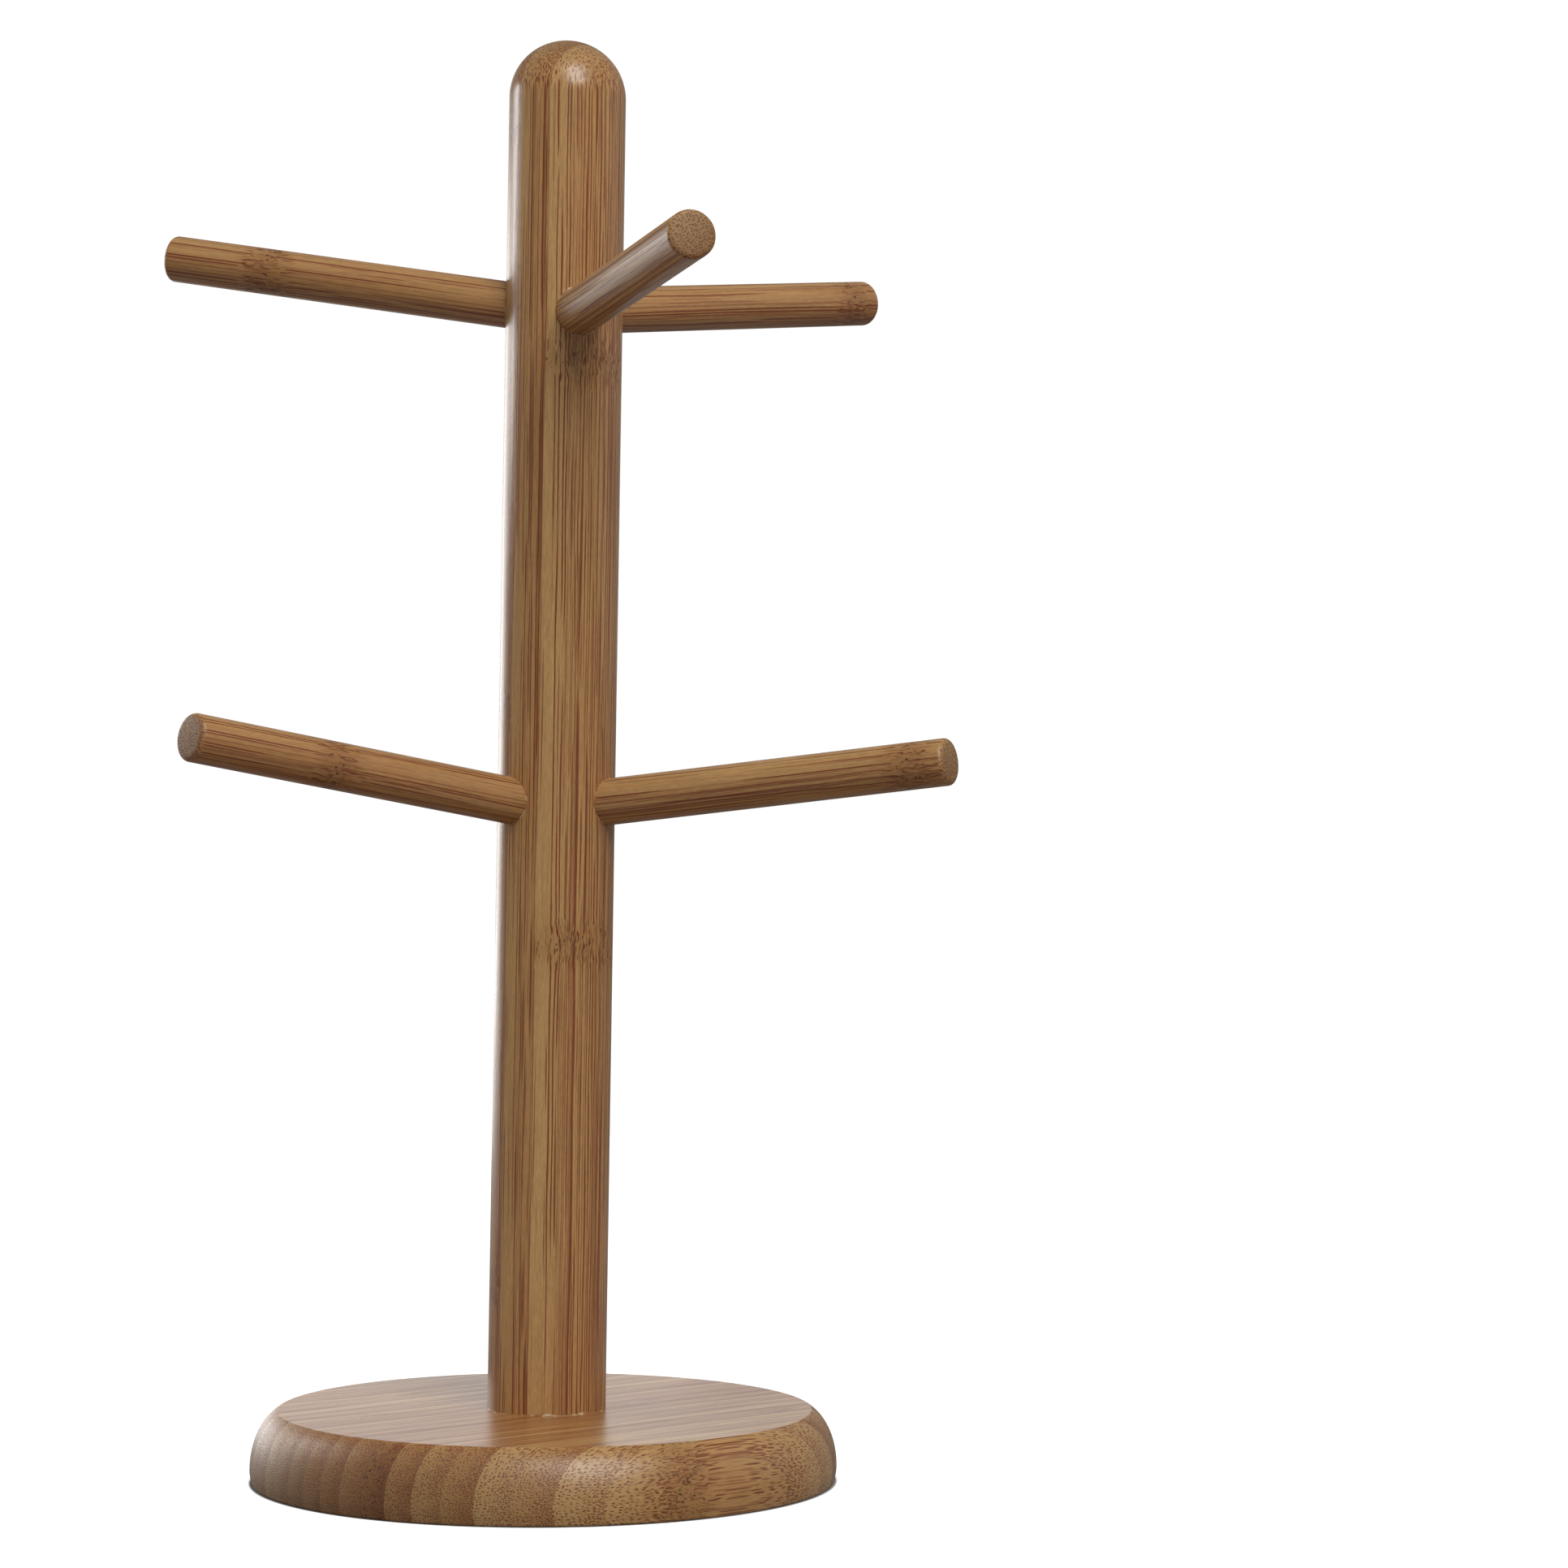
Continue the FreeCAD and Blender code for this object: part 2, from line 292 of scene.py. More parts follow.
def skin(rows, poles=(None, None), ring=False):
    """Vertices and faces of a grid of points (rows x columns x 3) whose columns close round. A pole is one
    point that closes an end with a fan of triangles; a ring joins the last row to the first."""
    count, around = rows.shape[:2]
    vertices = rows.reshape(-1, 3)
    index = np.arange(count * around).reshape(count, around)
    lower = index if ring else index[:-1]
    upper = np.roll(index, -1, axis=0) if ring else index[1:]
    quads = np.stack((lower, np.roll(lower, -1, axis=1), np.roll(upper, -1, axis=1), upper), axis=-1)
    faces = quads.reshape(-1, 4).tolist()
    for pole, edge, flip in ((poles[0], index[0], True), (poles[1], index[-1], False)):
        if pole is None:
            continue
        tip = np.full(around, len(vertices))
        vertices = np.concatenate((vertices, [pole]))
        fan = (edge, np.roll(edge, -1), tip)
        faces += np.stack(fan[::-1] if flip else fan, axis=-1).tolist()
    return vertices, faces


def gathered(*skins):
    """Several skins as one list of vertices and one of faces."""
    vertices, faces, first = [], [], 0
    for points, corners in skins:
        vertices.append(points)
        faces += [[corner + first for corner in face] for face in corners]
        first += len(points)
    return np.concatenate(vertices), faces


def enclosed_volume(vertices, faces):
    """Volume inside closed faces, each cut into triangles from its first corner. It is below nought when the
    faces point inwards."""
    triangles = np.array([(face[0], face[k], face[k + 1])
                          for face in faces for k in range(1, len(face) - 1)])
    a, b, c = (vertices[triangles[:, k]] for k in range(3))
    return float(np.einsum("ij,ij->i", a, np.cross(b, c)).sum() / 6.0)


def linked(name, data):
    """A new object in the scene."""
    made = bpy.data.objects.new(name, data)
    bpy.context.scene.collection.objects.link(made)
    return made


def piece(name, vertices, faces, material=None, body="root", slot=None, node=None):
    """An object with its place in its mesh, smooth but for its sharp edges, its faces pointing outwards."""
    if enclosed_volume(vertices, faces) < 0.0:
        faces = [face[::-1] for face in faces]
    mesh = bpy.data.meshes.new(name)
    mesh.from_pydata(vertices.tolist(), [], faces)
    if mesh.validate():
        raise RuntimeError(f"{name} has faces that can't be used")
    mesh.shade_smooth()
    mesh.set_sharp_from_angle(angle=SHARP_ANGLE)
    made = linked(name, mesh)
    if material is not None:
        mesh.materials.append(material)
    if slot is not None:
        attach(made, body)
    if node is not None:
        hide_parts(node)
    return made


def bored(blank, vertices, faces):
    """Cuts a closed skin out of a piece and removes the cutter."""
    cutter = piece("cutter", vertices, faces)
    modifier = blank.modifiers.new("bores", "BOOLEAN")
    modifier.operation, modifier.solver, modifier.object = "DIFFERENCE", "EXACT", cutter
    evaluated = blank.evaluated_get(bpy.context.evaluated_depsgraph_get())
    cut = bpy.data.meshes.new_from_object(evaluated)
    blank.modifiers.clear()
    uncut, blank.data = blank.data, cut
    cut.name = blank.name
    cut.set_sharp_from_angle(angle=SHARP_ANGLE)
    bpy.data.meshes.remove(uncut)
    cutter_mesh = cutter.data
    bpy.data.objects.remove(cutter)
    bpy.data.meshes.remove(cutter_mesh)


PegLine = namedtuple("PegLine", "root along side rise reach radius")


def peg_line(node):
    """Where a peg's axis meets the post's axis, its direction, two unit vectors square to it, the reach to
    its end, and its radius."""
    mount = END_MOUNTS[node + "_end"]
    end, along = np.array(mount["pos_m"], float), np.array(mount["axis"], float)
    along /= np.linalg.norm(along)
    reach = np.hypot(*end[:2]) / np.hypot(*along[:2])
    side = np.cross(along, UP)
    side /= np.linalg.norm(side)
    radius = mount["dims"]["r_mm"] * MM
    return PegLine(end - along * reach, along, side, np.cross(side, along), reach, radius)


def carried(line, profile, around, swell=None):
    """Rows of points round a peg's axis: root + distance along it + radius (side cos a + rise sin a).
    swell(angle, distance) is a share added to the radius."""
    turn = angles(around)[None, :, None]
    radius, distance = profile[:, :1, None], profile[:, 1:, None]
    if swell is not None:
        radius = radius * (1.0 + swell(turn, distance))
    return line.root + line.along * distance + radius * (line.side * np.cos(turn) + line.rise * np.sin(turn))


# ---------------------------------------------------------------- shader nodes

class Graph:
    """Puts nodes in one node tree and joins them. An input may be a socket or a plain value."""

    COLUMN_LENGTH = 6
    SPACING = (200, -230)

    def __init__(self, tree):
        self.tree = tree
        tree.nodes.clear()

    def put(self, kind, inputs=None, **settings):
        column, row = divmod(len(self.tree.nodes), self.COLUMN_LENGTH)
        node = self.tree.nodes.new(kind)
        node.location = (self.SPACING[0] * column, self.SPACING[1] * row)
        for key, value in settings.items():
            setattr(node, key, value)
        for key, value in (inputs or {}).items():
            if isinstance(value, bpy.types.NodeSocket):
                self.tree.links.new(value, node.inputs[key])
            else:
                node.inputs[key].default_value = value
        return node

    def math(self, operation, *values, clamp=False):
        inputs = dict(enumerate(values))
        return self.put("ShaderNodeMath", inputs, operation=operation, use_clamp=clamp).outputs[0]

    def times(self, first, second):
        return self.math("MULTIPLY", first, second)

    def total(self, *values):
        result = values[0]
        for value in values[1:]:
            result = self.math("ADD", result, value)
        return result

    def vector(self, operation, *values):
        return self.put("ShaderNodeVectorMath", dict(enumerate(values)), operation=operation).outputs[0]

    def scaled(self, vector, factor):
        return self.put("ShaderNodeVectorMath", {0: vector, "Scale": factor}, operation="SCALE").outputs[0]

    def smooth(self, value, start, end, low=0.0, high=1.0):
        """low at start, high at end, with an eased step between and nothing beyond."""
        inputs = {"Value": value, "From Min": start, "From Max": end, "To Min": low, "To Max": high}
        return self.put("ShaderNodeMapRange", inputs, interpolation_type="SMOOTHSTEP").outputs[0]

    def centred(self, value, amount):
        """A noise value moved to lie about nought and scaled."""
        return self.times(self.math("SUBTRACT", value, 0.5), amount)

    def blend(self, factor, first, second):
        return self.put("ShaderNodeMix", {0: factor, 6: first, 7: second}, data_type="RGBA").outputs[2]

    def noise(self, vector, patch, detail=1.0, roughness=0.5):
        """Noise whose patches measure about patch (x, y, z); value and colour."""
        scaled = self.vector("DIVIDE", vector, patch)
        inputs = {"Vector": scaled, "Scale": 1.0, "Detail": detail, "Roughness": roughness}
        return self.put("ShaderNodeTexNoise", inputs).outputs

    def cells(self, vector, randomness, dimensions):
        """Cells about one unit wide: the distance to the nearest centre, and a number of the cell's own."""
        inputs = {"Vector": vector, "Scale": 1.0, "Randomness": randomness}
        made = self.put("ShaderNodeTexVoronoi", inputs, voronoi_dimensions=dimensions).outputs
        return made["Distance"], self.put("ShaderNodeSeparateColor", {0: made["Color"]}).outputs[0]

    def place(self, centre=ORIGIN, turn=ORIGIN):
        """A point of the piece in mm, measured from a centre along turned axes."""
        point = self.put("ShaderNodeTexCoord").outputs["Object"]
        inputs = {"Vector": point, "Location": centre, "Rotation": turn, "Scale": (MM, MM, MM)}
        return self.put("ShaderNodeMapping", inputs, vector_type="TEXTURE").outputs[0]

    def coat(self, inputs, height, relief):
        """Ends a material with its shader, whose surface is raised by relief times height."""
        bump = self.put("ShaderNodeBump", {"Strength": 1.0, "Distance": relief, "Height": height})
        shader = self.put("ShaderNodeBsdfPrincipled", {**inputs, "Normal": bump.outputs[0]})
        self.put("ShaderNodeOutputMaterial", {"Surface": shader.outputs[0]})


def shader_group(name, inputs, outputs, build):
    """A node group with named sockets. inputs gives each kind of socket its names and defaults, and outputs
    its names. build gets the graph and the inputs and returns the outputs by name."""
    tree = bpy.data.node_groups.new(name, "ShaderNodeTree")
    for kind, defaults in inputs.items():
        for label, default in defaults.items():
            socket = tree.interface.new_socket(label, in_out="INPUT", socket_type=kind)
            socket.default_value = default
    for kind, labels in outputs.items():
        for label in labels:
            tree.interface.new_socket(label, in_out="OUTPUT", socket_type=kind)
    graph = Graph(tree)
    given = graph.put("NodeGroupInput").outputs
    graph.put("NodeGroupOutput", build(graph, given))
    return tree


# Lengths in mm: over which the glue lines drift; how far from a glue line it starts to show and is full; how
# far from a node the brown band and the pitted core start and are full; and how much each strip's pattern is
# moved against the next one's.
DRIFT_LENGTH = 85.0
GLUE_LINE = (0.10, 0.02)
NODE_BAND = (9.0, 1.0)
NODE_CORE = (2.6, 0.8)
STRIP_SHIFT = (13.7, 7.3, 31.0)

# Patches of the wood's patterns in mm: through the strip, across its width and along the fibre.
RAGGED_PATCH = (1.4, 1.4, 7.0)
WANDER_PATCH = (2.6, 2.6, 46.0)
TANGLE_PATCH = (1.1, 1.1, 4.0)
LEAN_PATCH = (1.8, 1.8, 38.0)
FIBRE_PATCH = (0.17, 0.17, 9.0)
STREAK_PATCH = (0.75, 0.75, 40.0)
CLOUD_PATCH = (6.0, 6.0, 70.0)
FLECK_PATCH = (0.3, 0.3, 2.4)
PIT_PATCH = (1.0, 1.0, 1.4)

# Fibre bundles: their spacing as a share of the pore size, their radius and the softness of their edge as
# shares of the spacing, and where across the strip they start and are full.
SPARSE_BUNDLES = (1.0, 0.28, 0.08, 1.25, 0.85)
DENSE_BUNDLES = (0.78, 0.30, 0.10, 0.38, 0.8)
BUNDLE_RANDOMNESS = 0.72


def strip_layout(graph, given):
    """Which strip a point lies in, how far across it, and the thin glue line between two strips. The strips
    are stacked along the grain point's X and wander a little along Z."""
    x, _, z = graph.put("ShaderNodeSeparateXYZ", {0: given["Grain Point"]}).outputs
    inputs = {"W": graph.math("DIVIDE", z, DRIFT_LENGTH), "Scale": 1.0, "Detail": 0.0}
    drift = graph.put("ShaderNodeTexNoise", inputs, noise_dimensions="1D").outputs[0]
    moved = graph.math("ADD", x, graph.times(graph.centred(drift, 2.0), given["Wander"]))
    count = graph.math("DIVIDE", graph.math("SUBTRACT", moved, given["Offset"]), given["Pitch"])
    to_edge = graph.times(graph.math("PINGPONG", count, 0.5), given["Pitch"])
    return {"Strip": graph.math("FLOOR", count), "Across": graph.math("FRACT", count),
            "Joint": graph.smooth(to_edge, *GLUE_LINE)}


def bamboo_grain(graph, given):
    """Caramelised bamboo: dark fibre bundles that run along the grain point's Z, sparse and large at a
    strip's inner wall and small and close at its outer wall, on ground that goes from straw to honey. The
    bundles wander a little, so a long cut shows them as tapered dashes and a cross cut as dots. At a node
    they tangle, the wood is browner and small pits open."""
    z = graph.put("ShaderNodeSeparateXYZ", {0: given["Grain Point"]}).outputs[2]
    local = graph.vector("ADD", given["Grain Point"], graph.scaled(STRIP_SHIFT, given["Strip"]))

    phase = graph.math("DIVIDE", graph.math("SUBTRACT", z, given["Node Height"]), given["Node Step"])
    phase = graph.math("SUBTRACT", phase, given["Node Shift"])
    away = graph.times(graph.math("PINGPONG", phase, 0.5), given["Node Step"])
    away = graph.math("ADD", away, graph.centred(graph.noise(local, RAGGED_PATCH)[0], 6.0))
    band = graph.times(graph.smooth(away, *NODE_BAND), given["Node Strength"])
    core = graph.times(graph.smooth(away, *NODE_CORE), given["Node Strength"])

    wander = graph.vector("SUBTRACT", graph.noise(local, WANDER_PATCH)[1], (0.5, 0.5, 0.5))
    tangle = graph.vector("SUBTRACT", graph.noise(local, TANGLE_PATCH)[1], (0.5, 0.5, 0.5))
    bent = graph.vector("MULTIPLY", local, (1.0, 1.0, 0.0))
    bent = graph.vector("ADD", bent, graph.scaled(wander, 1.15))
    bent = graph.vector("ADD", bent, graph.scaled(tangle, graph.times(band, 2.6)))
    lean = graph.math("ADD", given["Across"], graph.centred(graph.noise(local, LEAN_PATCH)[0], 0.45))
    size = graph.times(graph.math("ADD", given["Pore"], 0.5), 0.76)

    def bundles(spacing, radius, soft, fade_start, fade_end):
        apart = graph.math("DIVIDE", 1.0, graph.times(size, spacing))
        distance, own = graph.cells(graph.scaled(bent, apart), BUNDLE_RANDOMNESS, "2D")
        dots = graph.smooth(distance, radius + soft, radius - soft)
        shown = graph.times(dots, graph.smooth(lean, fade_start, fade_end))
        return graph.times(shown, graph.smooth(own, 0.0, 0.7, 0.45, 1.0))

    fibre_bundles = graph.math("MAXIMUM", bundles(*SPARSE_BUNDLES), bundles(*DENSE_BUNDLES))

    fibre = graph.noise(local, FIBRE_PATCH, 2.0, 0.6)[0]
    streak = graph.noise(local, STREAK_PATCH, 2.0)[0]
    cloud = graph.noise(local, CLOUD_PATCH)[0]
    flecks = graph.noise(local, FLECK_PATCH)[0]
    depth = graph.total(graph.math("SUBTRACT", given["Tone"], 0.12), graph.centred(lean, 0.42),
                        graph.centred(streak, 0.5), graph.centred(cloud, 0.4))
    ground = graph.blend(graph.math("ADD", depth, 0.0, clamp=True), given["Straw"], given["Honey"])
    end_grain = graph.math("POWER", given["End Grain"], 2.0)
    mark = graph.times(fibre_bundles, graph.math("MULTIPLY_ADD", end_grain, -0.22, 0.95))
    wood = graph.blend(mark, ground, given["Bundle"])
    wood = graph.scaled(wood, graph.total(graph.centred(fibre, 0.6), graph.centred(flecks, 0.5), 1.0))

    browner = graph.vector("MULTIPLY", wood, (0.70, 0.60, 0.50))
    wood = graph.blend(graph.times(band, 0.65), wood, browner)
    distance, own = graph.cells(graph.vector("DIVIDE", local, PIT_PATCH), 1.0, "3D")
    pits = graph.times(graph.smooth(distance, 0.36, 0.22), core)
    pits = graph.times(pits, graph.smooth(own, 0.50, 0.62))
    wood = graph.blend(pits, wood, given["Pit"])
    wood = graph.blend(graph.times(given["Joint"], 0.55), wood, graph.scaled(wood, 0.55))
    wood = graph.scaled(wood, graph.math("MULTIPLY_ADD", end_grain, -0.30, 1.0))

    sunk = graph.times(fibre_bundles, graph.math("MULTIPLY_ADD", end_grain, -5.0, -0.4))
    open_fibre = graph.times(fibre, graph.math("MULTIPLY_ADD", end_grain, 1.5, 1.0))
    height = graph.total(open_fibre, graph.times(streak, 0.6), sunk, graph.times(pits, -2.0),
                         graph.times(given["Joint"], -0.7))
    gloss = graph.total(given["Gloss"], graph.centred(fibre, 0.12), graph.times(fibre_bundles, 0.05),
                        graph.times(end_grain, 0.14))
    return {"Colour": wood, "Roughness": gloss, "Height": height}


def bamboo_groups(finish):
    """The two node groups that every bamboo material uses, built once."""
    if "Bamboo Grain" not in bpy.data.node_groups:
        point = {"Grain Point": ORIGIN}
        shader_group(
            "Strip Layout",
            {"NodeSocketVector": point, "NodeSocketFloat": {"Pitch": 7.0, "Offset": 0.0, "Wander": 0.5}},
            {"NodeSocketFloat": ("Strip", "Across", "Joint")}, strip_layout)
        values = {"Strip": 0.0, "Across": 0.5, "Joint": 0.0, "End Grain": 0.0, "Tone": 0.5, "Pore": 0.5,
                  "Node Shift": 0.0, "Node Strength": 1.0, "Node Height": 0.0, "Node Step": 300.0,
                  "Gloss": finish.post_roughness}
        colours = {label: (*getattr(finish, label.lower()), 1.0)
                   for label in ("Straw", "Honey", "Bundle", "Pit")}
        shader_group(
            "Bamboo Grain",
            {"NodeSocketVector": point, "NodeSocketFloat": values, "NodeSocketColor": colours},
            {"NodeSocketColor": ("Colour",), "NodeSocketFloat": ("Roughness", "Height")}, bamboo_grain)
    return bpy.data.node_groups["Strip Layout"], bpy.data.node_groups["Bamboo Grain"]


def new_material(name):
    """An empty material and the graph of its nodes."""
    material = bpy.data.materials.new(name)
    material.use_nodes = True
    return material, Graph(material.node_tree)


def lacquered_bamboo(name, finish, gloss, grain_axes, centre, spacing, strips, nodes):
    """Laminated bamboo under satin lacquer. grain_axes are the stacking direction, the strips' width and the
    fibre, as unit vectors. spacing is the strips' pitch and the offset of one glue line. strips is the first
    strip's number and each strip's tone, pore size, node shift and node strength. nodes is the place of one
    node along the fibre and the step to the next."""
    layout_tree, grain_tree = bamboo_groups(finish)
    material, graph = new_material(name)
    point = graph.place(centre, Matrix(grain_axes).transposed().to_euler())
    layout = graph.put("ShaderNodeGroup", node_tree=layout_tree, inputs={
        "Grain Point": point, "Pitch": spacing[0] / MM, "Offset": spacing[1] / MM}).outputs
    first, table = strips
    count = graph.math("DIVIDE", graph.math("ADD", layout["Strip"], 0.5 - first), float(len(table)))
    ramp = graph.put("ShaderNodeValToRGB", {0: count})
    ramp.color_ramp.interpolation = "CONSTANT"
    stops = ramp.color_ramp.elements
    for number, strip in enumerate(table):
        stop = stops[0] if number == 0 else stops.new(number / len(table))
        stop.color = strip
    stops.remove(stops[-1])
    tone, pore, shift = graph.put("ShaderNodeSeparateColor", {0: ramp.outputs[0]}).outputs
    normal = graph.put("ShaderNodeTexCoord").outputs["Normal"]
    fibre = Vector(grain_axes[2])
    facing = graph.put("ShaderNodeVectorMath", {0: normal, 1: fibre}, operation="DOT_PRODUCT")
    grain = graph.put("ShaderNodeGroup", node_tree=grain_tree, inputs={
        "Grain Point": point, "Strip": layout["Strip"], "Across": layout["Across"], "Joint": layout["Joint"],
        "End Grain": graph.math("ABSOLUTE", facing.outputs["Value"]), "Tone": tone, "Pore": pore,
        "Node Shift": shift, "Node Strength": ramp.outputs[1], "Node Height": nodes[0] / MM,
        "Node Step": nodes[1] / MM, "Gloss": gloss}).outputs
    graph.coat({"Base Color": grain["Colour"], "Roughness": grain["Roughness"], "IOR": 1.5},
               grain["Height"], finish.relief)
    return material


def upright_grain(turn):
    """Grain axes of upright strips that are stacked along the bearing turn."""
    stack = np.array((math.cos(turn), math.sin(turn), 0.0))
    return stack, np.cross(UP, stack), UP


def level_grain(turn):
    """Grain axes of strips that lie level and are stacked along the bearing turn."""
    stack = np.array((math.cos(turn), math.sin(turn), 0.0))
    fibre = np.cross(UP, stack)
    return stack, np.cross(fibre, stack), fibre


def glue_material(finish):
    """Dried glue and raw chips: honey where it is thin, pale in small flecks."""
    material, graph = new_material("dried_glue")
    point = graph.place()
    flecks = graph.noise(point, (1.6, 1.6, 1.6), 3.0)[0]
    fine = graph.noise(point, (0.3, 0.3, 0.3), 2.0)[0]
    shade = graph.blend(graph.smooth(flecks, 0.50, 0.62), (*finish.honey, 1.0), (*finish.glue, 1.0))
    shade = graph.scaled(shade, graph.math("ADD", graph.centred(fine, 0.5), 1.0))
    graph.coat({"Base Color": shade, "Roughness": graph.smooth(fine, 0.2, 0.8, 0.3, 0.5)}, fine, 0.03 * MM)
    return material


def zinc_material(finish):
    """Bright zinc plating with fine turning marks round the axis and a faint dull bloom."""
    material, graph = new_material("zinc_plating")
    point = graph.place()
    marks = graph.noise(point, (4.0, 4.0, 0.06), 2.0)[0]
    bloom = graph.noise(point, (1.8, 1.8, 1.8), 3.0, 0.6)[0]
    shade = graph.scaled(tuple(finish.zinc), graph.math("ADD", graph.centred(bloom, 0.4), 1.0))
    rough = graph.total(0.3, graph.centred(marks, 0.15), graph.centred(bloom, 0.25))
    graph.coat({"Base Color": shade, "Metallic": 1.0, "Roughness": rough}, marks, 0.004 * MM)
    return material


# ---------------------------------------------------------------- pieces

class MUGTREE_OT_board(bpy.types.Operator):
    """Turn the board, with its shoulder, the socket for the post and the seat for the screw"""
    bl_idname = "mug_tree.board"
    bl_label = "Board"

    AROUND = 256
    HEM = 0.3 * MM
    LAST_ROW = 0.1 * MM
    INNER_STEPS = (2, 3, 2, 2, 1, 1, 2)

    def profile(self, sizes):
        """The board's section as a closed loop of (radius, height): underside, rounding, drawn-in side,
        elliptic shoulder, flat top, socket, hole, countersink and counterbore."""
        rise = sizes.thickness - sizes.widest_height
        half_height = rise + sizes.shoulder_crest
        centre = (sizes.radius - sizes.shoulder_width, sizes.widest_height)
        shoulder = arc(centre, (sizes.shoulder_width, half_height), 0.0, math.asin(rise / half_height), 22)
        top_edge = shoulder[-1]
        slope = (shoulder[-2] - top_edge) / np.linalg.norm(shoulder[-2] - top_edge)
        before, after = top_edge + slope * sizes.edge_break, top_edge - (sizes.edge_break, 0.0)
        drop = sizes.widest_height - sizes.foot_rounding
        side_radius = (sizes.foot_inset ** 2 + drop ** 2) / (2 * sizes.foot_inset)
        draw_in = arc((sizes.radius - side_radius, sizes.widest_height), (side_radius, side_radius),
                      -math.asin(drop / side_radius), 0.0, 4)
        foot = sizes.foot_rounding
        rounding = arc(draw_in[0] - (foot, 0.0), (foot, foot), -math.pi / 2, 0.0, 6)
        head_face = SCREW_LOW.z
        cone_foot = head_face + sizes.head_rim
        cone_top = cone_foot + sizes.seat_radius - sizes.hole_radius
        inner = ((sizes.socket_radius, sizes.thickness), (sizes.socket_radius, POST_LOW.z),
                 (sizes.hole_radius, POST_LOW.z), (sizes.hole_radius, cone_top),
                 (sizes.seat_radius, cone_foot), (sizes.seat_radius, head_face),
                 (sizes.counterbore_radius, head_face), (sizes.counterbore_radius, self.LAST_ROW))
        return chained(
            run((sizes.counterbore_radius, 0.0), rounding[0], 10, self.HEM), rounding, draw_in,
            shoulder[:-1], softened(before, top_edge, after), run(after, inner[0], 10, self.HEM),
            *map(run, inner, inner[1:], self.INNER_STEPS))

    def execute(self, context):
        sizes, finish = context.scene.mug_tree_board, context.scene.mug_tree_finish
        rows = revolved(self.profile(sizes), self.AROUND)
        bamboo = lacquered_bamboo(
            "board_bamboo", finish, finish.board_roughness, level_grain(finish.board_turn), ORIGIN,
            (finish.board_pitch, finish.board_offset), (BOARD_FIRST_STRIP, BOARD_STRIPS), BOARD_NODES)
        piece("turned_board", *skin(rows, ring=True), bamboo, slot="board_bamboo", node="board")
        return {"FINISHED"}


class MUGTREE_OT_post(bpy.types.Operator):
    """Turn the post with its domed top, and bore the holes for the pegs and the screw"""
    bl_idname = "mug_tree.post"
    bl_label = "Post"

    AROUND = 192
    BORE_AROUND = 96
    ROW_SPACING = 4.0 * MM
    DOME_TURN = math.radians(87.5)

    def profile(self, sizes):
        """The post's section as (radius, height), from the end of the screw's hole, out round the foot, up
        the slightly tapered side and over the dome, short of its crown."""
        dome_centre = POST_HIGH.z - sizes.top_radius
        hole, foot = sizes.screw_hole_radius, POST_LOW.z + sizes.foot_chamfer
        steps = int((dome_centre - foot) / self.ROW_SPACING)
        return chained(
            run((hole, sizes.screw_hole_top), (hole, POST_LOW.z), 6),
            run((hole, POST_LOW.z), (sizes.foot_radius - sizes.foot_chamfer, POST_LOW.z), 4),
            run((sizes.foot_radius, foot), (sizes.top_radius, dome_centre), steps),
            arc((0.0, dome_centre), (sizes.top_radius, sizes.top_radius), 0.0, self.DOME_TURN, 30))

    def execute(self, context):
        sizes, finish = context.scene.mug_tree_post, context.scene.mug_tree_finish

        def swell(turn, height):
            """The post's waves, which are gone at the crown."""
            fade = np.clip((POST_HIGH.z - height) / sizes.top_radius, 0.0, 1.0)
            return hollows(POST_WAVES, 1.0, turn, height) * fade * sizes.unevenness / sizes.foot_radius

        rows = revolved(self.profile(sizes), self.AROUND, swell)
        bamboo = lacquered_bamboo(
            "post_bamboo", finish, finish.post_roughness, upright_grain(finish.post_turn), ORIGIN,
            (finish.post_pitch, finish.post_offset), (POST_FIRST_STRIP, POST_STRIPS), POST_NODES)
        post = piece("turned_post", *skin(rows, (UP * sizes.screw_hole_top, UP * POST_HIGH.z)), bamboo,
                     slot="post_bamboo", node="post")
        floor, beyond = sizes.bore_floor, sizes.foot_radius + sizes.bore_radius
        profile = run((sizes.bore_radius, floor), (sizes.bore_radius, beyond))
        bores = []
        for line in map(peg_line, PEG_STOCK):
            poles = (line.root + line.along * floor, line.root + line.along * beyond)
            bores.append(skin(carried(line, profile, self.BORE_AROUND), poles))
        bored(post, *gathered(*bores))
        return {"FINISHED"}


